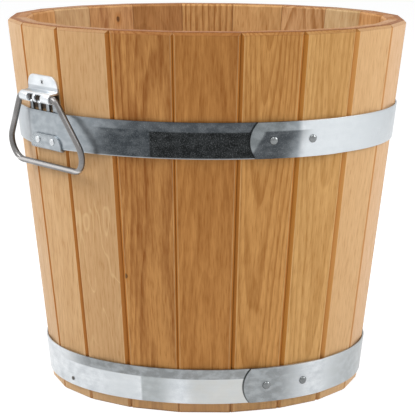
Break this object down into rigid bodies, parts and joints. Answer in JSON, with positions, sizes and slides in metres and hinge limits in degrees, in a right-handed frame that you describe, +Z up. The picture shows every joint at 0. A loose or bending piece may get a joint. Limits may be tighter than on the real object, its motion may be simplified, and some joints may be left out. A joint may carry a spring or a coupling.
{
  "type": "wooden tub planter",
  "caption": "Tapered coopered oak tub with V-jointed staves, two riveted zinc hoops, a grooved-in board bottom with a drain hole, and a wire drop handle on a folded strap at each side",
  "frame": {"origin": "centre of the base, on the floor that the tub stands on", "axes": "+Z up along the tub's axis; the two drop handles face -X and +X"},
  "size_m": [0.4066, 0.3944, 0.367],
  "materials": {
    "oak": "planed and oiled oak staves",
    "oak_bottom": "planed oak boards",
    "zinc": "hot-dip galvanised steel sheet with a fine spangle",
    "wire": "galvanised steel wire, weathered grey",
    "fastener": "bright zinc-plated steel"
  },
  "bodies": {
    "tub": {"stave_01": "oak", "stave_02": "oak", "stave_03": "oak", "stave_04": "oak", "stave_05": "oak", "stave_06": "oak", "stave_07": "oak", "stave_08": "oak", "stave_09": "oak", "stave_10": "oak", "stave_11": "oak", "stave_12": "oak", "stave_13": "oak", "stave_14": "oak", "stave_15": "oak", "stave_16": "oak", "stave_17": "oak", "stave_18": "oak", "stave_19": "oak", "stave_20": "oak", "bottom_board_1": "oak_bottom", "bottom_board_2": "oak_bottom", "bottom_board_3": "oak_bottom", "bottom_board_4": "oak_bottom", "bottom_board_5": "oak_bottom", "bottom_dowels": "oak_bottom", "upper_hoop": "zinc", "lower_hoop": "zinc", "upper_hoop_rivets": "fastener", "lower_hoop_rivets": "fastener", "hoop_nails": "fastener", "left_handle_strap": "zinc", "right_handle_strap": "zinc", "left_strap_rivets": "fastener", "right_strap_rivets": "fastener", "left_strap_screw": "fastener", "right_strap_screw": "fastener"},
    "left_bail": {"left_bail": "wire"},
    "right_bail": {"right_bail": "wire"}
  },
  "joints": [
    {"name": "left_bail_hinge", "type": "hinge", "parent": "tub", "child": "left_bail", "pos_m": [-0.19823, 0, 0.29814], "axis": [0, 1, 0], "range_deg": [-0.5, 186]},
    {"name": "right_bail_hinge", "type": "hinge", "parent": "tub", "child": "right_bail", "pos_m": [0.19823, 0, 0.29814], "axis": [0, -1, 0], "range_deg": [-0.5, 186]}
  ]
}
